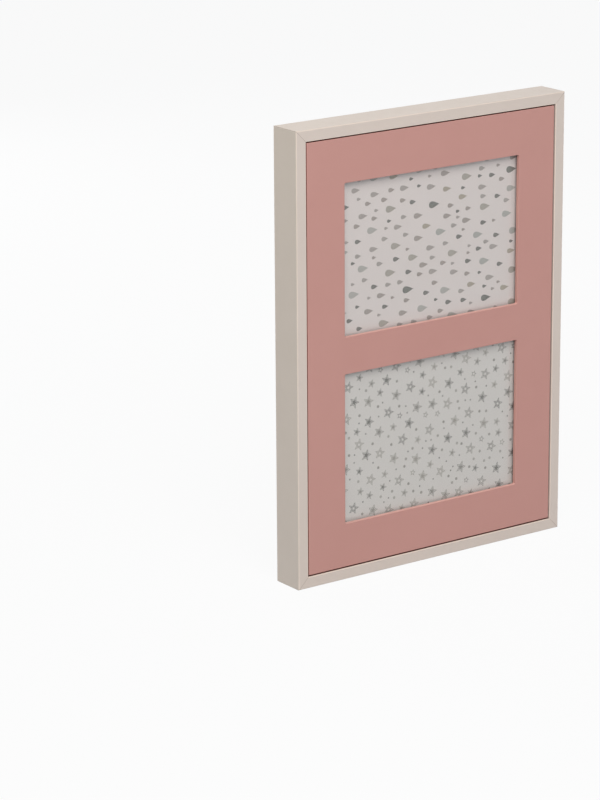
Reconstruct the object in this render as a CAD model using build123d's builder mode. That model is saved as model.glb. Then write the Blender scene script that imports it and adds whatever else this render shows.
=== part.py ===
from build123d import *
import os

# Collage photo frame: four mitred rails round a painted panel with two windows, one above the other.
# Millimetres. X runs to the right, Y to the back and Z up, as someone in front of the frame sees it.
# The origin is at the foot of the frame, under its middle, and the bottom rail stands on Z = 0.
# A depth is measured from the front of the rails towards the back.

# Photos and panel
photo_width = 178.0
photo_height = 127.0
photo_overlap = 1.5  # what the panel hides of a photo along each edge
window_corner = 1.2
bridge_height = 30.5  # strip of panel between the two windows
panel_margin = 36.2  # strip of panel outside the windows
panel_thickness = 3.0
panel_recess = 0.6  # panel front behind the rail front
panel_arris = 0.4
panel_corner = 0.5
reveal_gap = 1.1  # open gap between panel and rails

# Rails
rail_face = 9.35  # width seen from the front
rail_depth = 30.0
rail_round = 0.9  # outer front edge
rail_arris = 0.5  # inner front edge and outer back edge

# Strips glued inside the rails, which carry the panel in front and the board behind
strip_width = 6.0

# Layers behind the panel
glass_thickness = 2.0
photo_play = 0.1  # photo behind the glass
photo_thickness = 0.3
card_thickness = 1.2
layer_play = 0.6  # glass and card to the strips, all round
board_thickness = 3.0
board_play = 0.8  # board to the rails, all round
finger_corner = 22.0  # corner cut off the board, for a fingertip

# Swivel clips and their rivets
clip_thickness = 1.0
clip_play = 0.1  # under and over a clip
clip_setback = 9.0  # rivet to the edge of the board
clip_grip = 2.2  # reach of a closed clip into the kerf
clip_tongue_width = 8.0
clip_head_radius = 5.0
clip_tail_reach = 8.0
clip_tail_width = 6.0
clip_lip_height = 2.0
clip_spread_share = 0.29  # side clips above and below the middle, as a share of the board's height
kerf_side_play = 0.3
kerf_end_play = 0.8
rivet_radius = 1.5
rivet_fit = 0.05
rivet_head_radius = 3.0
rivet_head_height = 1.1
rivet_head_round = 0.8
rivet_flange_radius = 2.5
rivet_flange_thickness = 0.5

# V-nails across the mitres, driven in from the back
v_nail_leg = 7.0
v_nail_thickness = 0.6
v_nail_height = 10.0
v_nail_sink = 0.5

# Sawtooth hangers and their nails
hanger_length = 45.0
hanger_width = 8.0
hanger_thickness = 0.8
hanger_lift = 1.0
hanger_bridge = 30.0  # raised middle of a hanger
hanger_ramp = 1.5
tooth_pitch = 2.5
tooth_depth = 1.6
nail_radius = 0.7
nail_fit = 0.05
nail_length = 9.0
nail_head_radius = 1.6
nail_head_height = 0.7

# Bumpers
bumper_radius = 3.2
bumper_thickness = 2.0
bumper_round = 0.6
bumper_inset = 28.0  # bumper centre to the foot or the top of the frame

# Outline
window_width = photo_width - 2 * photo_overlap
window_height = photo_height - 2 * photo_overlap
window_spacing = window_height + bridge_height
panel_width = window_width + 2 * panel_margin
panel_height = window_spacing + window_height + 2 * panel_margin
inner_width = panel_width + 2 * reveal_gap
inner_height = panel_height + 2 * reveal_gap
outer_width = inner_width + 2 * rail_face
outer_height = inner_height + 2 * rail_face

# Layers and board inside the rails
layer_width = inner_width - 2 * (strip_width + layer_play)
layer_height = inner_height - 2 * (strip_width + layer_play)
board_width = inner_width - 2 * board_play
board_height = inner_height - 2 * board_play

# Depths
panel_back = panel_recess + panel_thickness
glass_back = panel_back + glass_thickness
photo_back = glass_back + photo_play + photo_thickness
board_front = photo_back + card_thickness
board_back = board_front + board_thickness
clip_front = board_back + clip_play
clip_back = clip_front + clip_thickness
rivet_head_front = clip_back + clip_play
kerf_front = clip_front - kerf_side_play
kerf_back = clip_back + kerf_side_play
kerf_depth = clip_grip + kerf_end_play
back_reach = max(bumper_thickness, hanger_lift + hanger_thickness)
front_y = -(rail_depth + back_reach) / 2

# Clips: place of the rivet from the middle of the board, and the way out to the rail
clip_reach = clip_setback + board_play + clip_grip
side_pivot = board_width / 2 - clip_setback
end_pivot = board_height / 2 - clip_setback
clip_spread = board_height * clip_spread_share
clip_places = {
    "upper_left_clip": (-side_pivot, clip_spread, Vector(-1, 0, 0)),
    "lower_left_clip": (-side_pivot, -clip_spread, Vector(-1, 0, 0)),
    "upper_right_clip": (side_pivot, clip_spread, Vector(1, 0, 0)),
    "lower_right_clip": (side_pivot, -clip_spread, Vector(1, 0, 0)),
    "top_clip": (0, end_pivot, Vector(0, 0, 1)),
    "bottom_clip": (0, -end_pivot, Vector(0, 0, -1)),
}
pivots = [(x, z) for x, z, outward in clip_places.values()]

# Hangers: middle of the rail's back, and the way that is up when the frame hangs there
rail_middle = rail_face / 2
hanger_places = {
    "portrait_hanger": (0, outer_height / 2 - rail_middle, Vector(0, 0, 1)),
    "landscape_hanger": (outer_width / 2 - rail_middle, 0, Vector(1, 0, 0)),
}
nail_spread = (hanger_length + hanger_bridge) / 4 + hanger_ramp / 2
tooth_count = 2 * int((hanger_bridge - tooth_pitch) / tooth_pitch / 2) + 1

os.makedirs("parts", exist_ok=True)


def depth_plane(depth, x=0, z=0, x_dir=(1, 0, 0)):
    """A plane across the frame, x and z from its middle, that extrudes towards the front."""
    origin = (x, front_y + depth, outer_height / 2 + z)
    return Plane(origin=origin, x_dir=x_dir, z_dir=(0, -1, 0))


def wall_plane(x, z, upward):
    """A plane on the back of the rails with its Y axis upward, that extrudes towards the wall."""
    origin = (x, front_y + rail_depth, outer_height / 2 + z)
    return Plane(origin=origin, x_dir=upward.cross(Vector(0, 1, 0)), z_dir=(0, 1, 0))


def corner_angles(front_depth, back_depth):
    """An L of thin sheet at each mitre, its legs along the middle of both rails."""
    apex_x = outer_width / 2 - rail_middle
    apex_z = outer_height / 2 - rail_middle
    leg_length = v_nail_leg + v_nail_thickness
    with BuildPart() as angles:
        with BuildSketch(depth_plane(back_depth)):
            for side in (-1, 1):
                for level in (-1, 1):
                    with Locations((side * (apex_x - v_nail_leg / 2), level * apex_z)):
                        Rectangle(leg_length, v_nail_thickness)
                    with Locations((side * apex_x, level * (apex_z - v_nail_leg / 2))):
                        Rectangle(v_nail_thickness, leg_length)
        extrude(amount=back_depth - front_depth)
    return angles.part


# V-nails, and the slots that they leave in the rails
v_nail_back = rail_depth - v_nail_sink
v_nail_front = v_nail_back - v_nail_height
v_nail_slots = corner_angles(v_nail_front, rail_depth)
v_nail_bodies = corner_angles(v_nail_front, v_nail_back)
with BuildPart() as corner_v_nails:
    add(v_nail_bodies)
corner_v_nails.part.label = "corner_v_nails"
export_step(corner_v_nails.part, "parts/corner_v_nails.step")

# Hanger nails, with the holes that they sit in
with BuildPart() as nail_holes:
    for x, z, upward in hanger_places.values():
        with BuildSketch(wall_plane(x, z, upward)):
            with Locations((-nail_spread, 0), (nail_spread, 0)):
                Circle(nail_radius + nail_fit)
        extrude(amount=-nail_length)

with BuildPart() as hanger_nails:
    for x, z, upward in hanger_places.values():
        head_plane = wall_plane(x, z, upward).offset(hanger_thickness)
        with BuildSketch(head_plane):
            with Locations((-nail_spread, 0), (nail_spread, 0)):
                Circle(nail_head_radius)
        extrude(amount=nail_head_height)
        with BuildSketch(head_plane):
            with Locations((-nail_spread, 0), (nail_spread, 0)):
                Circle(nail_radius)
        extrude(amount=-(nail_length + hanger_thickness))
hanger_nails.part.label = "hanger_nails"
export_step(hanger_nails.part, "parts/hanger_nails.step")

# Sawtooth hangers, each a stepped strip with teeth along its lower edge
strip_outline = [
    (-hanger_length / 2, 0),
    (-hanger_bridge / 2 - hanger_ramp, 0),
    (-hanger_bridge / 2, hanger_lift),
    (hanger_bridge / 2, hanger_lift),
    (hanger_bridge / 2 + hanger_ramp, 0),
    (hanger_length / 2, 0),
    (hanger_length / 2, hanger_thickness),
    (hanger_bridge / 2 + hanger_ramp, hanger_thickness),
    (hanger_bridge / 2, hanger_lift + hanger_thickness),
    (-hanger_bridge / 2, hanger_lift + hanger_thickness),
    (-hanger_bridge / 2 - hanger_ramp, hanger_thickness),
    (-hanger_length / 2, hanger_thickness),
]
for hanger_name, (x, z, upward) in hanger_places.items():
    back = wall_plane(x, z, upward)
    with BuildPart() as hanger:
        with BuildSketch(Plane(origin=back.origin, x_dir=back.x_dir, z_dir=-back.y_dir)):
            with BuildLine():
                Polyline(*strip_outline, close=True)
            make_face()
        extrude(amount=hanger_width / 2, both=True)
        with BuildSketch(back):
            with Locations((0, -hanger_width / 2)):
                with GridLocations(tooth_pitch, 0, tooth_count, 1):
                    Polygon((-tooth_pitch / 2, 0), (tooth_pitch / 2, 0), (0, tooth_depth), align=None)
            with Locations((-nail_spread, 0), (nail_spread, 0)):
                Circle(nail_radius + nail_fit)
        extrude(amount=hanger_lift + hanger_thickness, mode=Mode.SUBTRACT)
    hanger.part.label = hanger_name
    export_step(hanger.part, f"parts/{hanger_name}.step")

# Rails and their strips, mitred alike: X of a section runs inward, Y to the back
sides = {
    "bottom": (0, -outer_height / 2, Vector(0, 0, 1), outer_width),
    "top": (0, outer_height / 2, Vector(0, 0, -1), outer_width),
    "left": (-outer_width / 2, 0, Vector(1, 0, 0), outer_height),
    "right": (outer_width / 2, 0, Vector(-1, 0, 0), outer_height),
}
rail_outline = [
    (0, 0),
    (rail_face, 0),
    (rail_face, kerf_front),
    (rail_face - kerf_depth, kerf_front),
    (rail_face - kerf_depth, kerf_back),
    (rail_face, kerf_back),
    (rail_face, rail_depth),
    (0, rail_depth),
]
for side, (x, z, inward, side_length) in sides.items():
    foot = Vector(x, front_y, outer_height / 2 + z)
    along = inward.cross(Vector(0, 1, 0))
    section_plane = Plane(origin=foot, x_dir=inward, z_dir=along)
    mitres = []
    for end in (-1, 1):
        corner = foot + along * (end * side_length / 2)
        mitres.append(Plane(origin=corner, z_dir=inward + along * end))

    with BuildPart() as rail:
        with BuildSketch(section_plane) as section:
            with BuildLine():
                Polyline(*rail_outline, close=True)
            make_face()
            fillet(section.vertices().group_by(Axis.X)[0].sort_by(Axis.Y)[0], rail_round)
            fillet(section.vertices().group_by(Axis.X)[0].sort_by(Axis.Y)[-1], rail_arris)
            fillet(section.vertices().group_by(Axis.Y)[0].sort_by(Axis.X)[-1], rail_arris)
        extrude(amount=side_length / 2, both=True)
        for mitre in mitres:
            split(bisect_by=mitre, keep=Keep.BOTTOM)
        add(v_nail_slots, mode=Mode.SUBTRACT)
        add(nail_holes.part, mode=Mode.SUBTRACT)
    rail.part.label = f"{side}_rail"
    export_step(rail.part, f"parts/{side}_rail.step")

    with BuildPart() as strip:
        with BuildSketch(section_plane):
            with Locations((rail_face, panel_back)):
                Rectangle(strip_width, board_front - panel_back, align=(Align.MIN, Align.MIN))
        extrude(amount=side_length / 2, both=True)
        for mitre in mitres:
            split(bisect_by=mitre, keep=Keep.BOTTOM)
    strip.part.label = f"{side}_ledge_strip"
    export_step(strip.part, f"parts/{side}_ledge_strip.step")

# Painted panel with its two windows, its front edges eased
with BuildPart() as front_panel:
    with BuildSketch(depth_plane(panel_back)):
        RectangleRounded(panel_width, panel_height, panel_corner)
        with GridLocations(0, window_spacing, 1, 2):
            RectangleRounded(window_width, window_height, window_corner, mode=Mode.SUBTRACT)
    extrude(amount=panel_thickness)
    fillet(front_panel.faces().sort_by(Axis.Y)[0].edges(), panel_arris)
front_panel.part.label = "front_panel"
export_step(front_panel.part, "parts/front_panel.step")

# Glass, one sheet behind both windows
with BuildPart() as glass_pane:
    with BuildSketch(depth_plane(glass_back)):
        Rectangle(layer_width, layer_height)
    extrude(amount=glass_thickness)
glass_pane.part.label = "glass_pane"
export_step(glass_pane.part, "parts/glass_pane.step")

# Insert papers, one behind each window
for paper_name, level in (("upper_print", 1), ("lower_print", -1)):
    with BuildPart() as paper:
        with BuildSketch(depth_plane(photo_back, z=level * window_spacing / 2)):
            Rectangle(photo_width, photo_height)
        extrude(amount=photo_thickness)
    paper.part.label = paper_name
    export_step(paper.part, f"parts/{paper_name}.step")

# Filler card
with BuildPart() as filler_card:
    with BuildSketch(depth_plane(board_front)):
        Rectangle(layer_width, layer_height)
    extrude(amount=card_thickness)
filler_card.part.label = "filler_card"
export_step(filler_card.part, "parts/filler_card.step")

# Backing board, with a stepped hole for each rivet and its lower right corner cut off
with BuildPart() as backing_board:
    with BuildSketch(depth_plane(board_back)) as board_outline:
        Rectangle(board_width, board_height)
        chamfer(board_outline.vertices().group_by(Axis.Y)[0].sort_by(Axis.X)[-1], finger_corner)
        with Locations(*pivots):
            Circle(rivet_radius + rivet_fit, mode=Mode.SUBTRACT)
    extrude(amount=board_thickness)
    with BuildSketch(depth_plane(board_front + rivet_flange_thickness)):
        with Locations(*pivots):
            Circle(rivet_flange_radius + rivet_fit)
    extrude(amount=rivet_flange_thickness, mode=Mode.SUBTRACT)
backing_board.part.label = "backing_board"
export_step(backing_board.part, "parts/backing_board.step")

# Rivets: flange in the front of the board, shank through board and clip, domed head at the back
with BuildPart() as clip_rivets:
    with BuildSketch(depth_plane(board_front + rivet_flange_thickness)):
        with Locations(*pivots):
            Circle(rivet_flange_radius)
    extrude(amount=rivet_flange_thickness)
    with BuildSketch(depth_plane(rivet_head_front)):
        with Locations(*pivots):
            Circle(rivet_radius)
    extrude(amount=rivet_head_front - board_front)
    with BuildSketch(depth_plane(rivet_head_front + rivet_head_height)):
        with Locations(*pivots):
            Circle(rivet_head_radius)
    extrude(amount=rivet_head_height)
    fillet(clip_rivets.edges().filter_by(GeomType.CIRCLE).group_by(Axis.Y)[-1], rivet_head_round)
clip_rivets.part.label = "clip_rivets"
export_step(clip_rivets.part, "parts/clip_rivets.step")

# Swivel clips: a tongue that reaches into the kerf, and a tail with an upturned lip for a finger
tongue_round = clip_tongue_width / 2
for clip_name, (x, z, outward) in clip_places.items():
    with BuildPart() as clip:
        with BuildSketch(depth_plane(clip_back, x, z, outward)):
            Circle(clip_head_radius)
            Rectangle(clip_reach - tongue_round, clip_tongue_width, align=(Align.MIN, Align.CENTER))
            with Locations((clip_reach - tongue_round, 0)):
                Circle(tongue_round)
            Rectangle(clip_tail_reach, clip_tail_width, align=(Align.MAX, Align.CENTER))
            Circle(rivet_radius + rivet_fit, mode=Mode.SUBTRACT)
        extrude(amount=clip_thickness)
        with BuildSketch(depth_plane(clip_back + clip_lip_height, x, z, outward)):
            with Locations((-clip_tail_reach, 0)):
                Rectangle(clip_thickness, clip_tail_width, align=(Align.MIN, Align.CENTER))
        extrude(amount=clip_lip_height)
    clip.part.label = clip_name
    export_step(clip.part, f"parts/{clip_name}.step")

# Bumpers between the frame and the wall
with BuildPart() as wall_bumpers:
    with BuildSketch(depth_plane(rail_depth + bumper_thickness)):
        with GridLocations(outer_width - rail_face, outer_height - 2 * bumper_inset, 2, 2):
            Circle(bumper_radius)
    extrude(amount=bumper_thickness)
    fillet(wall_bumpers.edges().group_by(Axis.Y)[-1], bumper_round)
wall_bumpers.part.label = "wall_bumpers"
export_step(wall_bumpers.part, "parts/wall_bumpers.step")

print(f"frame {outer_width:.2f} x {rail_depth + back_reach:.2f} x {outer_height:.2f} mm")
print(f"window {window_width:.2f} x {window_height:.2f} mm, {tooth_count} teeth on a hanger")
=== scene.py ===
import math
import random

import bmesh
import bpy
from mathutils import Matrix, Vector


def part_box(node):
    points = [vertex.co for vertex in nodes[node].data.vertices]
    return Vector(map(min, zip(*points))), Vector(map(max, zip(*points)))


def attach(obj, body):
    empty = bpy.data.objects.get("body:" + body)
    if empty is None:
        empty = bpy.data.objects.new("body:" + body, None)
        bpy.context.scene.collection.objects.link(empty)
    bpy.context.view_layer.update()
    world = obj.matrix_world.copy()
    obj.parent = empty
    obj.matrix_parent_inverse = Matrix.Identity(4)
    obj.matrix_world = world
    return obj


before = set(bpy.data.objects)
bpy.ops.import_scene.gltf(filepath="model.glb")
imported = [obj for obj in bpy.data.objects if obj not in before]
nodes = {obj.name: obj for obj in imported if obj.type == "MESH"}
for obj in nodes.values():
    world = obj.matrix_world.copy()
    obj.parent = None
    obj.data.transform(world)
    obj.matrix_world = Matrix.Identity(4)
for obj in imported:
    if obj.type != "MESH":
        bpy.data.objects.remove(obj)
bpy.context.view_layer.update()  # rails, panel, glass, prints, board and hardware, in metres
mm = 0.001
print("frame loaded:", len(nodes), "nodes")

# Camera: in front of the frame, to its left and a little above
viewpoint = {
    "aim": (-0.13196, -0.016, 0.15773),
    "azimuth": -35.62,  # degrees, to the left of straight ahead
    "elevation": 16.18,
    "roll": -0.365,
    "distance": 2.5845,
    "lens": 148.46,
    "sensor": 36,
    "reach": (0.05, 50),  # nearest and farthest that it sees
}


def makeCamera():
    azimuth, elevation, roll = (
        math.radians(viewpoint[angle]) for angle in ("azimuth", "elevation", "roll")
    )
    back = Vector((
        math.sin(azimuth) * math.cos(elevation),
        -math.cos(azimuth) * math.cos(elevation),
        math.sin(elevation),
    ))
    right = (-back).cross(Vector((0, 0, 1))).normalized()
    up = right.cross(-back)
    right, up = (
        math.cos(roll) * right + math.sin(roll) * up,
        math.cos(roll) * up - math.sin(roll) * right,
    )
    camera = bpy.data.objects.new("camera", bpy.data.cameras.new("camera"))
    bpy.context.scene.collection.objects.link(camera)
    turn = Matrix((right, up, back)).transposed().to_4x4()
    place = Vector(viewpoint["aim"]) + back * viewpoint["distance"]
    camera.matrix_world = Matrix.Translation(place) @ turn
    camera.data.lens = viewpoint["lens"]
    camera.data.sensor_width = viewpoint["sensor"]
    camera.data.clip_start, camera.data.clip_end = viewpoint["reach"]
    bpy.context.scene.camera = camera


makeCamera()
print("camera placed")


def colour(code):
    # #rrggbb as seen on a screen, as the linear colour that the nodes take
    parts = [int(code[i:i + 2], 16) / 255 for i in (1, 3, 5)]
    return tuple(c / 12.92 if c <= 0.04045 else ((c + 0.055) / 1.055) ** 2.4 for c in parts) + (1,)


class Signal:
    # a socket that takes sums and products like a number
    def __init__(self, finish, socket):
        self.finish = finish
        self.socket = socket

    def maths(self, operation, *terms):
        return self.finish.node("ShaderNodeMath", {"operation": operation}, dict(enumerate(terms)))

    def __add__(self, other):
        return self.maths("ADD", self, other)

    def __radd__(self, other):
        return self.maths("ADD", other, self)

    def __sub__(self, other):
        return self.maths("SUBTRACT", self, other)

    def __rsub__(self, other):
        return self.maths("SUBTRACT", other, self)

    def __mul__(self, other):
        return self.maths("MULTIPLY", self, other)

    def __rmul__(self, other):
        return self.maths("MULTIPLY", other, self)

    def __abs__(self):
        return self.maths("ABSOLUTE", self)

    def power(self, other):
        return self.maths("POWER", self, other)

    def least(self, other):
        return self.maths("MINIMUM", self, other)

    def most(self, other):
        return self.maths("MAXIMUM", self, other)


class Finish:
    # the nodes of a material or of the world; places and sizes are in millimetres, in the part's frame
    def __init__(self, owner):
        owner.use_nodes = True
        self.owner = owner
        self.tree = owner.node_tree
        self.tree.nodes.clear()

    def node(self, kind, settings=None, inputs=None, output=0):
        made = self.tree.nodes.new(kind)
        for name, value in (settings or {}).items():
            setattr(made, name, value)
        for name, value in (inputs or {}).items():
            if isinstance(value, Signal):
                self.tree.links.new(value.socket, made.inputs[name])
            else:
                made.inputs[name].default_value = value
        return Signal(self, made.outputs[output]) if made.outputs else None

    def place(self, stretch=(1, 1, 1)):
        here = self.node("ShaderNodeTexCoord", output="Object")
        scale = tuple(s / mm for s in stretch)
        return self.node("ShaderNodeVectorMath", {"operation": "MULTIPLY"}, {0: here, 1: scale})

    def axes(self):
        split = self.node("ShaderNodeSeparateXYZ", inputs={"Vector": self.place()})
        return [Signal(self, s) for s in split.socket.node.outputs]

    def grain(self, size, detail, stretch=(1, 1, 1), roughness=0.5):
        return self.node("ShaderNodeTexNoise", inputs={
            "Vector": self.place(stretch),
            "Scale": 1 / size,
            "Detail": detail,
            "Roughness": roughness,
        })

    def step(self, value, low, high):
        # 0 at low and 1 at high, also where low is the larger
        inputs = {"Value": value, "From Min": low, "From Max": high}
        return self.node("ShaderNodeMapRange", {"interpolation_type": "SMOOTHSTEP"}, inputs)

    def mottle(self, low, high, **pattern):
        # patches of grain with soft edges, from 0 to 1
        return self.step(self.grain(**pattern), low, high)

    def blend(self, share, under, over):
        return self.node("ShaderNodeMix", {"data_type": "RGBA"}, {0: share, 6: under, 7: over}, 2)

    def relief(self, height):
        return self.node("ShaderNodeBump", inputs={"Height": height, "Distance": mm})

    def surface(self, **inputs):
        named = {name.replace("_", " "): value for name, value in inputs.items()}
        shader = self.node("ShaderNodeBsdfPrincipled", inputs=named)
        self.node("ShaderNodeOutputMaterial", inputs={"Surface": shader})
        return self.owner


def newFinish(name):
    return Finish(bpy.data.materials.new(name))


def dress(material, *names):
    for name in names:
        slots = nodes[name].data.materials
        slots.clear()
        slots.append(material)


# Studio: pale floor, cool soft light all round, a large warm lamp in front, weak ones behind and aside
studio = {
    "floorColour": "#ccd0d4",
    "floorGlow": 0.93,  # share of plain white in what is seen of the floor
    "floorSize": 14.0,
    "skyColour": (0.9, 0.98, 1.04),
    "skyStrength": 0.265,
    "lampAim": (0.0, 0.0, 0.19),
    "lamps": {
        "key_lamp": {
            "place": (-1.02, -1.86, 2.31), "size": 2.2, "power": 79.7, "colour": (1.0, 0.937, 0.906),
        },
        "back_lamp": {
            "place": (0.0, 1.7, 0.7), "size": 1.1, "power": 12.0, "colour": (1.0, 0.95, 0.9),
        },
        "left_lamp": {
            "place": (-0.85, -0.05, 0.85), "size": 0.3, "power": 0.58, "colour": (1.0, 0.95, 0.3),
        },
        "right_lamp": {
            "place": (1.3, 0.25, 0.3), "size": 0.6, "power": 3.2, "colour": (1.0, 0.93, 0.87),
        },
    },
}


def seenRays(finish):
    # 1 where the camera, a reflection or clear glass looks, 0 for light that falls on things
    path = finish.node("ShaderNodeLightPath").socket.node.outputs
    camera, glossy, clear = (
        Signal(finish, path[ray]) for ray in ("Is Camera Ray", "Is Glossy Ray", "Is Transmission Ray")
    )
    return camera.most(glossy).most(clear)


def makeFloor():
    half = studio["floorSize"] / 2
    mesh = bpy.data.meshes.new("floor")
    corners = [(-half, -half, 0), (half, -half, 0), (half, half, 0), (-half, half, 0)]
    mesh.from_pydata(corners, [], [(0, 1, 2, 3)])
    floor = bpy.data.objects.new("floor", mesh)
    bpy.context.scene.collection.objects.link(floor)
    finish = newFinish("floor_white")
    lit = finish.node("ShaderNodeBsdfDiffuse", inputs={"Color": colour(studio["floorColour"])})
    glow = finish.node("ShaderNodeEmission", inputs={"Strength": 1.0})
    share = seenRays(finish) * studio["floorGlow"]
    both = finish.node("ShaderNodeMixShader", inputs={0: share, 1: lit, 2: glow})
    finish.node("ShaderNodeOutputMaterial", inputs={"Surface": both})
    mesh.materials.append(finish.owner)


def makeSky():
    world = bpy.data.worlds.new("studio")
    bpy.context.scene.world = world
    sky = Finish(world)
    soft = sky.node("ShaderNodeBackground", inputs={
        "Color": studio["skyColour"] + (1,), "Strength": studio["skyStrength"],
    })
    white = sky.node("ShaderNodeBackground", inputs={"Color": (1, 1, 1, 1)})
    both = sky.node("ShaderNodeMixShader", inputs={0: seenRays(sky), 1: soft, 2: white})
    sky.node("ShaderNodeOutputWorld", inputs={"Surface": both})


def makeLamps():
    for name, look in studio["lamps"].items():
        light = bpy.data.lights.new(name, "AREA")
        light.size = look["size"]
        light.energy = look["power"]
        light.color = look["colour"]
        lamp = bpy.data.objects.new(name, light)
        bpy.context.scene.collection.objects.link(lamp)
        lamp.location = look["place"]
        lamp.visible_camera = False
        away = Vector(look["place"]) - Vector(studio["lampAim"])
        lamp.rotation_euler = away.to_track_quat("Z", "Y").to_euler()


bpy.context.scene.view_settings.view_transform = "Standard"
makeFloor()
makeSky()
makeLamps()
print("studio lit")

# Rails: fibreboard sprayed a warm off-white, bare on the back and inside the recess
# each fade is a pair of distances, where it starts and where it is full
railLow, railHigh = (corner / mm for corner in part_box("left_rail"))
railFace = railHigh.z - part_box("top_rail")[0].z / mm
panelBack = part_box("front_panel")[1].y / mm
rails = {
    "paint": "#d4c9c0",
    "paintShade": "#cfc4bb",
    "cloud": {"size": 26, "detail": 2, "low": 0.3, "high": 0.7},
    "cloudShare": 0.3,
    "edge": "#f4e4d4",  # painted highlight: a lighter colour along the front edges
    "edgeHighlightShare": 0.5,
    "outerShare": 0.5,  # of that painted highlight, along the outer edges
    "innerFade": (0.8, 0.4),
    "outerFade": (0.9, 0.4),
    "frontFade": (0.7, 0.4),
    "ripple": {"size": 1.6, "detail": 2},  # of the sprayed coat
    "rippleDepth": 0.006,
    "roughness": 0.38,
    "roughPatch": {"size": 9, "detail": 3, "low": 0.2, "high": 0.8},
    "roughSpread": 0.08,
    "mitre": "#74604c",  # the hairline at a mitre
    "mitreShare": 0.5,
    "mitreFade": (0.22, 0.055),
    "mitreDepth": 0.05,
    "bareBoard": "#a98a66",
    "boardFleck": "#7d6244",
    "fibre": {"size": 0.9, "detail": 5, "roughness": 0.7, "low": 0.42, "high": 0.72},
    "fibreShare": 0.55,
    "fuzz": {"size": 0.5, "detail": 4},
    "fuzzDepth": 0.03,
    "bareRoughness": 0.85,
    "gap": "#743a2a",  # painted shade: dark red-brown on the bare board beside the panel's edge
    "gapFade": (0, 0.3),
    "sideReach": 2.1,  # how deep the paint goes inside the side rails; deeper than at the ends, so less painted shade shows in the side gaps
    "endReach": 1.0,  # the same inside the top and bottom rails
    "reachFade": (0, 0.4),
    "cornerFade": (-0.1, 0.1),
    "insideFade": (0, 0.2),
    "overspray": 1.92,  # twice how far the paint wraps onto the back
    "ragged": {"size": 2.2, "detail": 3},
    "oversprayFade": (-0.3, 0.5),
    "backFade": (0.2, 0.05),
}


def paintRails():
    finish = newFinish("rail_paint")
    x, y, z = finish.axes()
    middle = (railLow.z + railHigh.z) / 2
    fromSide = -railLow.x - abs(x)
    fromEnd = railHigh.z - middle - abs(z - middle)
    fromEdge = fromSide.least(fromEnd)
    fromFront = y - railLow.y
    toMitre = abs(fromSide - fromEnd) * math.sqrt(0.5)
    mitre = finish.step(toMitre, *rails["mitreFade"])

    cloud = finish.mottle(**rails["cloud"]) * rails["cloudShare"]
    paint = finish.blend(cloud, colour(rails["paint"]), colour(rails["paintShade"]))
    # painted highlight: the paint is lighter along the inner and outer front edges
    inner = finish.step(railFace - fromEdge, *rails["innerFade"])
    outer = finish.step(fromEdge, *rails["outerFade"]) * rails["outerShare"]
    front = finish.step(fromFront, *rails["frontFade"])
    paint = finish.blend((inner + outer) * front * rails["edgeHighlightShare"], paint, colour(rails["edge"]))

    fibre = finish.mottle(**rails["fibre"]) * rails["fibreShare"]
    bare = finish.blend(fibre, colour(rails["bareBoard"]), colour(rails["boardFleck"]))
    # painted shade: dark red-brown on the inner faces beside the panel, in the gap
    inside = finish.step(fromEdge - railFace / 2, *rails["insideFade"])
    railGapShade = inside * finish.step(panelBack - y, *rails["gapFade"])
    bare = finish.blend(railGapShade, bare, colour(rails["gap"]))

    ragged = finish.grain(**rails["ragged"]) * rails["overspray"]
    wrapped = finish.step(fromEdge - ragged, *rails["oversprayFade"])
    onBack = finish.step(railHigh.y - y, *rails["backFade"])
    upright = finish.step(fromEnd - fromSide, *rails["cornerFade"])
    reach = upright * (rails["sideReach"] - rails["endReach"]) + rails["endReach"]
    deep = finish.step(fromFront - reach, *rails["reachFade"])
    raw = (onBack * wrapped).most(inside * deep)
    coat = finish.blend(raw, paint, bare)
    coat = finish.blend(mitre * rails["mitreShare"], coat, colour(rails["mitre"]))

    ripple = finish.grain(**rails["ripple"]) * rails["rippleDepth"]
    fuzz = finish.grain(**rails["fuzz"]) * rails["fuzzDepth"]
    height = ripple * (1 - raw) + fuzz * raw - mitre * rails["mitreDepth"]
    sheen = finish.mottle(**rails["roughPatch"]) * rails["roughSpread"] + rails["roughness"]
    dull = sheen * (1 - raw) + raw * rails["bareRoughness"]
    dress(
        finish.surface(Base_Color=coat, Roughness=dull, Normal=finish.relief(height)),
        "top_rail", "bottom_rail", "left_rail", "right_rail",
    )


paintRails()

# Ledge strips: planed softwood, the grain along each strip
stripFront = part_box("left_ledge_strip")[0].y / mm
strips = {
    "wood": "#c39f72",
    "ring": "#a37b4c",
    "rings": {"size": 1.1, "detail": 4, "low": 0.4, "high": 0.66},
    "ringShare": 0.7,
    "ringDepth": 0.03,
    "pore": "#6e4f2e",
    "pores": {"size": 0.3, "detail": 2, "low": 0.58, "high": 0.75},
    "poreShare": 0.4,
    "poreDepth": 0.02,
    "stretch": 0.04,  # lower draws the grain out longer
    "woodGapShade": "#55291e",  # painted shade on the front, in the gap beside the panel
    "woodGapShadeFade": (0.25, 0.1),
    "roughness": 0.68,
}


def plainStrips():
    for title, stretch, names in (
        ("wood_across", (strips["stretch"], 1, 1), ("top_ledge_strip", "bottom_ledge_strip")),
        ("wood_upright", (1, 1, strips["stretch"]), ("left_ledge_strip", "right_ledge_strip")),
    ):
        finish = newFinish(title)
        ring = finish.mottle(stretch=stretch, **strips["rings"])
        pore = finish.mottle(stretch=stretch, **strips["pores"])
        wood = finish.blend(ring * strips["ringShare"], colour(strips["wood"]), colour(strips["ring"]))
        wood = finish.blend(pore * strips["poreShare"], wood, colour(strips["pore"]))
        # painted shade: the strip's front goes dark where it shows in the gap
        woodInGapShade = finish.step(finish.axes()[1] - stripFront, *strips["woodGapShadeFade"])
        wood = finish.blend(woodInGapShade, wood, colour(strips["woodGapShade"]))
        height = finish.relief(ring * strips["ringDepth"] - pore * strips["poreDepth"])
        dress(finish.surface(Base_Color=wood, Roughness=strips["roughness"], Normal=height), *names)


plainStrips()

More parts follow.
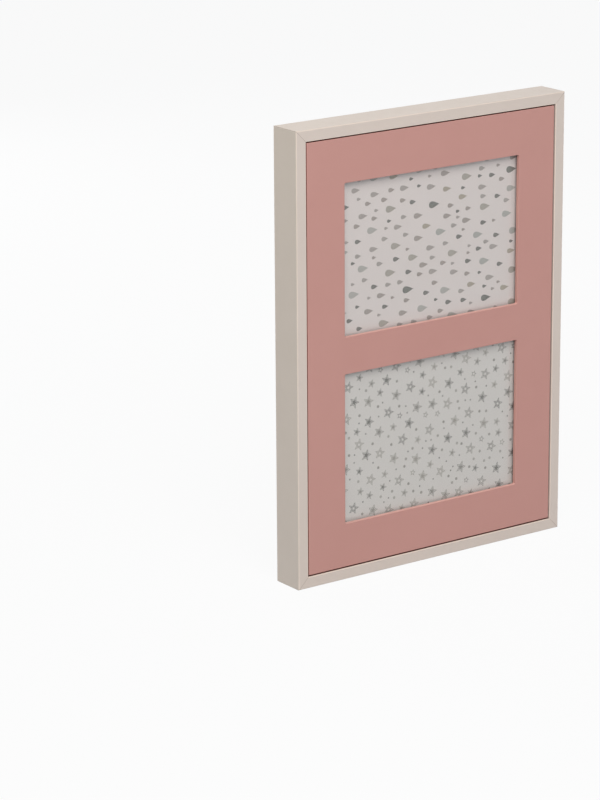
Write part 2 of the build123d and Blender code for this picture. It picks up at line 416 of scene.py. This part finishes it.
# Panel: matt dusty pink, sprayed over board
panelLow, panelHigh = (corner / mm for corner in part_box("front_panel"))
panelMiddle = (panelLow.z + panelHigh.z) / 2
panel = {
    "paint": "#c19088",
    "paintShade": "#bc8b83",
    "cloud": {"size": 38, "detail": 2, "low": 0.3, "high": 0.7},
    "cloudShare": 0.3,
    "speck": "#d0a298",
    "specks": {"size": 0.7, "detail": 3, "low": 0.3, "high": 0.7},
    "speckShare": 0.12,
    "eggshell": {"size": 0.8, "detail": 3},
    "eggshellDepth": 0.008,
    "roughness": 0.58,
    "roughPatch": {"size": 12, "detail": 3, "low": 0.2, "high": 0.8},
    "roughSpread": 0.08,
    "sillHighlight": "#e9c0b6",  # painted highlight on edges that face up
    "sillHighlightShare": 0.26,
    "sillHighlightFade": (0.2, 0.7),
    "gap": "#94503f",  # painted shade on the outer edges, in the gap to the rails
    "gapFade": (0.25, 0.5),
    "rimFade": (0.12, 0.04),
}


def paintPanel():
    finish = newFinish("panel_paint")
    x, y, z = finish.axes()
    cloud = finish.mottle(**panel["cloud"]) * panel["cloudShare"]
    speck = finish.mottle(**panel["specks"]) * panel["speckShare"]
    paint = finish.blend(cloud, colour(panel["paint"]), colour(panel["paintShade"]))
    paint = finish.blend(speck, paint, colour(panel["speck"]))
    # painted highlight: faces that point up are lighter
    facing = finish.node("ShaderNodeNewGeometry", output="Normal")
    upward = finish.node("ShaderNodeSeparateXYZ", inputs={"Vector": facing}, output="Z")
    sillHighlight = finish.step(upward, *panel["sillHighlightFade"]) * panel["sillHighlightShare"]
    paint = finish.blend(sillHighlight, paint, colour(panel["sillHighlight"]))
    # painted shade: the panel's outer edges are darker in the gap to the rails
    fromRim = (panelHigh.x - abs(x)).least(panelHigh.z - panelMiddle - abs(z - panelMiddle))
    onRim = finish.step(fromRim, *panel["rimFade"])
    panelGapShade = onRim * finish.step(y - panelLow.y, *panel["gapFade"])
    paint = finish.blend(panelGapShade, paint, colour(panel["gap"]))
    height = finish.relief(finish.grain(**panel["eggshell"]) * panel["eggshellDepth"])
    dull = finish.mottle(**panel["roughPatch"]) * panel["roughSpread"] + panel["roughness"]
    dress(finish.surface(Base_Color=paint, Roughness=dull, Normal=height), "front_panel")


paintPanel()
print("rails and panel painted")

# Glass: clear, with the faint green of common float glass
glass = {"tint": (0.985, 0.997, 0.992, 1), "refraction": 1.46, "roughness": 0.015}


def clearGlass():
    finish = newFinish("clear_glass")
    glance = finish.node("ShaderNodeLayerWeight", inputs={"Blend": 0.5}, output="Facing")
    headOn = ((glass["refraction"] - 1) / (glass["refraction"] + 1)) ** 2
    bend = glance.power(5) * (1 - headOn) + headOn  # alike from both sides of the sheet
    through = finish.node("ShaderNodeBsdfTransparent", inputs={"Color": glass["tint"]})
    mirror = finish.node("ShaderNodeBsdfAnisotropic", inputs={"Roughness": glass["roughness"]})
    both = finish.node("ShaderNodeMixShader", inputs={0: bend, 1: through, 2: mirror})
    finish.node("ShaderNodeOutputMaterial", inputs={"Surface": both})
    dress(finish.owner, "glass_pane")


clearGlass()

# Papers behind the windows
papers = {
    "sheets": {
        "upper_print": ("upper_paper", "#dcd1d0"),
        "lower_print": ("lower_paper", "#d5cfcd"),
    },
    "shade": "#b9afa9",
    "fibre": {"size": 0.6, "detail": 4, "low": 0.35, "high": 0.7},
    "fibreShare": 0.05,
    "cloud": {"size": 30, "detail": 2, "low": 0.3, "high": 0.7},
    "cloudShare": 0.04,
    "tooth": {"size": 0.4, "detail": 3},
    "toothDepth": 0.004,
    "roughness": 0.55,
}


def makePaper():
    for name, (title, tone) in papers["sheets"].items():
        finish = newFinish(title)
        fibre = finish.mottle(**papers["fibre"]) * papers["fibreShare"]
        cloud = finish.mottle(**papers["cloud"]) * papers["cloudShare"]
        paper = finish.blend(fibre + cloud, colour(tone), colour(papers["shade"]))
        height = finish.relief(finish.grain(**papers["tooth"]) * papers["toothDepth"])
        dress(finish.surface(Base_Color=paper, Roughness=papers["roughness"], Normal=height), name)


makePaper()

# Card that presses the prints to the glass
card = {
    "grey": "#b0aca4",
    "dark": "#8a857c",
    "fibre": {
        "size": 0.7, "detail": 4, "stretch": (1, 1, 0.4), "roughness": 0.7, "low": 0.45, "high": 0.72,
    },
    "fibreShare": 0.6,
    "fuzz": {"size": 0.5, "detail": 4},
    "fuzzDepth": 0.02,
    "roughness": 0.9,
}


def greyCard():
    finish = newFinish("grey_card")
    fibre = finish.mottle(**card["fibre"]) * card["fibreShare"]
    board = finish.blend(fibre, colour(card["grey"]), colour(card["dark"]))
    height = finish.relief(finish.grain(**card["fuzz"]) * card["fuzzDepth"])
    dress(finish.surface(Base_Color=board, Roughness=card["roughness"], Normal=height), "filler_card")


greyCard()

# Backing board: smooth brown hardboard
hardboard = {
    "brown": "#8a6242",
    "dark": "#5e3f27",
    "pale": "#a47d58",
    "cloud": {"size": 14, "detail": 4, "low": 0.3, "high": 0.7},
    "cloudShare": 0.25,
    "fibre": {"size": 0.8, "detail": 5, "roughness": 0.7, "low": 0.5, "high": 0.74},
    "fibreShare": 0.6,
    "fleck": {"size": 2.6, "detail": 4, "stretch": (0.25, 1, 1), "low": 0.62, "high": 0.74},
    "fleckShare": 0.35,
    "fuzz": {"size": 0.5, "detail": 4},
    "fuzzDepth": 0.012,
    "waves": {"size": 6, "detail": 2},
    "waveDepth": 0.03,
    "roughness": 0.55,
    "fibreRough": 0.15,
}


def brownBoard():
    finish = newFinish("brown_hardboard")
    cloud = finish.mottle(**hardboard["cloud"]) * hardboard["cloudShare"]
    fibre = finish.mottle(**hardboard["fibre"])
    fleck = finish.mottle(**hardboard["fleck"]) * hardboard["fleckShare"]
    board = finish.blend(cloud, colour(hardboard["brown"]), colour(hardboard["pale"]))
    board = finish.blend(fibre * hardboard["fibreShare"], board, colour(hardboard["dark"]))
    board = finish.blend(fleck, board, colour(hardboard["pale"]))
    fuzz = finish.grain(**hardboard["fuzz"]) * hardboard["fuzzDepth"]
    waves = finish.grain(**hardboard["waves"]) * hardboard["waveDepth"]
    dull = fibre * hardboard["fibreRough"] + hardboard["roughness"]
    dress(
        finish.surface(Base_Color=board, Roughness=dull, Normal=finish.relief(fuzz + waves)),
        "backing_board",
    )


brownBoard()
print("layers finished")

# Hardware: stamped, zinc plated and bright metals
hardware = {
    "metals": {
        "zinc_clip": {
            "pale": "#b9bcc0", "deep": "#8f949a", "rough": 0.34,
            "nodes": (
                "upper_left_clip", "lower_left_clip", "upper_right_clip", "lower_right_clip",
                "top_clip", "bottom_clip",
            ),
        },
        "bright_rivet": {
            "pale": "#c3c2bd", "deep": "#a2a19b", "rough": 0.3, "nodes": ("clip_rivets",),
        },
        "nail_steel": {
            "pale": "#a3a4a6", "deep": "#76787b", "rough": 0.3,
            "nodes": ("corner_v_nails", "hanger_nails"),
        },
        "hanger_steel": {
            "pale": "#bcb8aa", "deep": "#a29d8e", "rough": 0.3,
            "nodes": ("portrait_hanger", "landscape_hanger"),
        },
    },
    "spangle": 0.55,  # zinc crystals in a millimetre
    "spangleShare": 0.45,
    "spangleRough": 0.08,
    "brushed": {"size": 0.25, "detail": 3, "stretch": (0.08, 1, 1)},
    "brushedShare": 0.4,
    "brushedRough": 0.1,
    "brushedDepth": 0.004,
    "waves": {"size": 1.5, "detail": 3},
    "waveDepth": 0.01,
}


def plateMetals():
    for title, look in hardware["metals"].items():
        finish = newFinish(title)
        crystals = {"Vector": finish.place(), "Scale": hardware["spangle"]}
        spangle = finish.node("ShaderNodeTexVoronoi", inputs=crystals, output="Color")
        patch = finish.node("ShaderNodeSeparateColor", inputs={"Color": spangle})
        brushed = finish.grain(**hardware["brushed"])
        worn = patch * hardware["spangleShare"] + brushed * hardware["brushedShare"]
        metal = finish.blend(worn, colour(look["pale"]), colour(look["deep"]))
        dull = patch * hardware["spangleRough"] + brushed * hardware["brushedRough"] + look["rough"]
        waves = finish.grain(**hardware["waves"]) * hardware["waveDepth"]
        height = finish.relief(brushed * hardware["brushedDepth"] + waves)
        dress(
            finish.surface(Base_Color=metal, Metallic=1.0, Roughness=dull, Normal=height),
            *look["nodes"],
        )


plateMetals()

# Bumpers: milky soft plastic
bumper = {
    "milky": "#d8d6cf",
    "dusty": "#bdb9af",
    "dust": {"size": 1.4, "detail": 4, "low": 0.4, "high": 0.75},
    "dustShare": 0.5,
    "dustRough": 0.2,
    "roughness": 0.38,
    "skin": {"size": 0.6, "detail": 3},
    "skinDepth": 0.01,
}


def softBumpers():
    finish = newFinish("bumper_rubber")
    dust = finish.mottle(**bumper["dust"])
    rubber = finish.blend(dust * bumper["dustShare"], colour(bumper["milky"]), colour(bumper["dusty"]))
    dull = dust * bumper["dustRough"] + bumper["roughness"]
    height = finish.relief(finish.grain(**bumper["skin"]) * bumper["skinDepth"])
    dress(finish.surface(Base_Color=rubber, Roughness=dull, Normal=height), "wall_bumpers")


softBumpers()
print("hardware and bumpers finished")

# Printed motifs: a thin film of ink on the front of each paper
ink = {
    "film": 0.025,
    "roughness": 0.5,
    "thin": "#c9c2bd",  # where the ink is thinner
    "patch": {"size": 0.5, "detail": 4, "low": 0.35, "high": 0.75},
    "patchShare": 0.12,
    "attempts": 40,  # random places tried for each motif
}
dropPrint = {
    "seed": 41,
    "kinds": (  # length, width, how many, tones
        (10.6, 5.4, 5, ("#6f6e6a",)),
        (10.4, 5.3, 28, ("#a6a3a0", "#aba6a3", "#a39b94")),
        (9.0, 4.2, 34, ("#9f9490", "#a39996", "#a3988c")),
        (6.6, 3.6, 20, ("#716d6a",)),
        (6.4, 3.5, 42, ("#9d918d", "#a19895")),
        (4.4, 2.6, 12, ("#6f6c69",)),
        (4.2, 2.5, 22, ("#9f938f", "#a39996")),
    ),
    "scale": (0.95, 1.05),
    "squeeze": 1.7,  # higher leaves more room beside a drop than above it
    "point": 1.75,  # higher is slimmer towards the tip
    "corners": 32,
}
starPrint = {
    "seed": 17,
    "kinds": (  # radius, style, how many
        (5.3, "double", 32),
        (5.2, "cored", 36),
        (3.7, "cored", 30),
        (2.9, "open", 12),
        (1.25, "pale dot", 58),
        (0.75, "dark dot", 50),
    ),
    "tones": ("#6f6c69", "#797572", "#8b8682", "#9c9690", "#928d88"),
    "dotTones": {
        "pale dot": ("#a29d98", "#aaa5a0", "#98938e"),
        "dark dot": ("#7d7a77", "#8c8884"),
    },
    "dotCorners": 10,
    "squeeze": 1,
    "points": 5,
    "waist": 0.45,
    "wobble": 0.05,
    "lean": 7.0,  # degrees
    "hole": {"double": 0.78, "cored": 0.78, "open": 0.6},  # share of the star
    "inner": 0.6,  # the second star of a double one, and the hole in it
    "core": 0.58,
}


def scatter(dice, sizes, low, high, squeeze):
    # the largest first, each in the roomiest of a few random places
    placed = []
    for reach in sizes:
        best, bestRoom = None, None
        for attempt in range(ink["attempts"]):
            x = dice.uniform(low.x, high.x)
            z = dice.uniform(low.z, high.z)
            room = min(
                (math.hypot((x - px) / squeeze, z - pz) - pr for px, pz, pr in placed), default=0,
            )
            if bestRoom is None or room > bestRoom:
                best, bestRoom = (x, z, reach), room
        placed.append(best)
    return [(x, z) for x, z, reach in placed]


def turns(corners):
    return [2 * math.pi * i / corners for i in range(corners)]


def dropOutline(length, width):
    # a round end to the left, a tip to the right
    body = [math.sin(t) * math.sin(t / 2) ** dropPrint["point"] for t in turns(dropPrint["corners"])]
    ends = [math.cos(t) * length / 2 for t in turns(dropPrint["corners"])]
    return [(end, b * width / 2 / max(body)) for end, b in zip(ends, body)]


def dotOutline(radius):
    return [(radius * math.cos(t), radius * math.sin(t)) for t in turns(starPrint["dotCorners"])]


def starOutline(dice, radius, lean):
    outline = []
    for i, turn in enumerate(turns(2 * starPrint["points"])):
        reach = radius if i % 2 == 0 else radius * starPrint["waist"]
        reach *= 1 + dice.uniform(-1, 1) * starPrint["wobble"]
        outline.append((reach * math.cos(lean + turn), reach * math.sin(lean + turn)))
    return outline


def scaled(points, share):
    return [(x * share, z * share) for x, z in points]


def moved(points, x, z):
    return [(x + px, z + pz) for px, pz in points]


def inkShapes(name, node, shapes):
    # shapes are (outline, hole or None, tone), places in millimetres on the front of the paper
    low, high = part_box(node)
    mesh = bpy.data.meshes.new(name)
    film = bmesh.new()
    tones = film.loops.layers.float_color.new("inkTone")

    def corner(point):
        return film.verts.new((point[0] * mm, low.y, point[1] * mm))

    for outline, hole, tone in shapes:
        ring = [corner(p) for p in outline]
        if hole is None:
            faces = [film.faces.new(ring)]
        else:
            inner = [corner(p) for p in hole]
            count = len(ring)
            faces = [
                film.faces.new((ring[i], ring[(i + 1) % count], inner[(i + 1) % count], inner[i]))
                for i in range(count)
            ]
        for face in faces:
            for loop in face.loops:
                loop[tones] = colour(tone)
    for edge, outward in (
        (low, (-1, 0, 0)), (high, (1, 0, 0)), (low, (0, 0, -1)), (high, (0, 0, 1)),
    ):
        bmesh.ops.bisect_plane(
            film, geom=film.verts[:] + film.edges[:] + film.faces[:],
            plane_co=edge, plane_no=outward, clear_outer=True,
        )
    film.normal_update()
    for face in film.faces:
        if face.normal.y > 0:
            face.normal_flip()
    film.to_mesh(mesh)
    film.free()
    piece = bpy.data.objects.new(name, mesh)
    bpy.context.scene.collection.objects.link(piece)
    thick = piece.modifiers.new("film", "SOLIDIFY")
    thick.thickness = ink["film"] * mm
    thick.offset = 1
    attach(piece, "frame")

    finish = newFinish(name + "_ink")
    tone = finish.node("ShaderNodeAttribute", {"attribute_name": "inkTone"})
    patch = finish.mottle(**ink["patch"]) * ink["patchShare"]
    printed = finish.blend(patch, tone, colour(ink["thin"]))
    mesh.materials.append(finish.surface(Base_Color=printed, Roughness=ink["roughness"]))


def printDrops():
    dice = random.Random(dropPrint["seed"])
    low, high = (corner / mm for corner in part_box("upper_print"))
    kinds = [kind for kind in dropPrint["kinds"] for n in range(kind[2])]
    places = scatter(dice, [kind[1] for kind in kinds], low, high, dropPrint["squeeze"])
    shapes = []
    for (length, width, count, tones), place in zip(kinds, places):
        outline = scaled(dropOutline(length, width), dice.uniform(*dropPrint["scale"]))
        shapes.append((moved(outline, *place), None, dice.choice(tones)))
    inkShapes("upper_print_drops", "upper_print", shapes)


def starRings(dice, radius, style):
    # the outline and the hole of each ring of one star
    outer = starOutline(dice, radius, math.radians(dice.uniform(-1, 1) * starPrint["lean"]))
    rings = [(outer, scaled(outer, starPrint["hole"][style]))]
    if style == "double":
        inner = scaled(outer, starPrint["inner"])
        rings.append((inner, scaled(inner, starPrint["inner"])))
    elif style == "cored":
        rings.append((scaled(outer, starPrint["core"]), None))
    return rings


def printStars():
    dice = random.Random(starPrint["seed"])
    low, high = (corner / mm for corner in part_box("lower_print"))
    kinds = [kind for kind in starPrint["kinds"] for n in range(kind[2])]
    places = scatter(dice, [kind[0] for kind in kinds], low, high, starPrint["squeeze"])
    shapes = []
    for (radius, style, count), place in zip(kinds, places):
        tone = dice.choice(starPrint["dotTones"].get(style, starPrint["tones"]))
        if style in starPrint["dotTones"]:
            rings = [(dotOutline(radius), None)]
        else:
            rings = starRings(dice, radius, style)
        for outline, hole in rings:
            shapes.append((moved(outline, *place), hole and moved(hole, *place), tone))
    inkShapes("lower_print_stars", "lower_print", shapes)


printDrops()
printStars()
print("prints drawn")
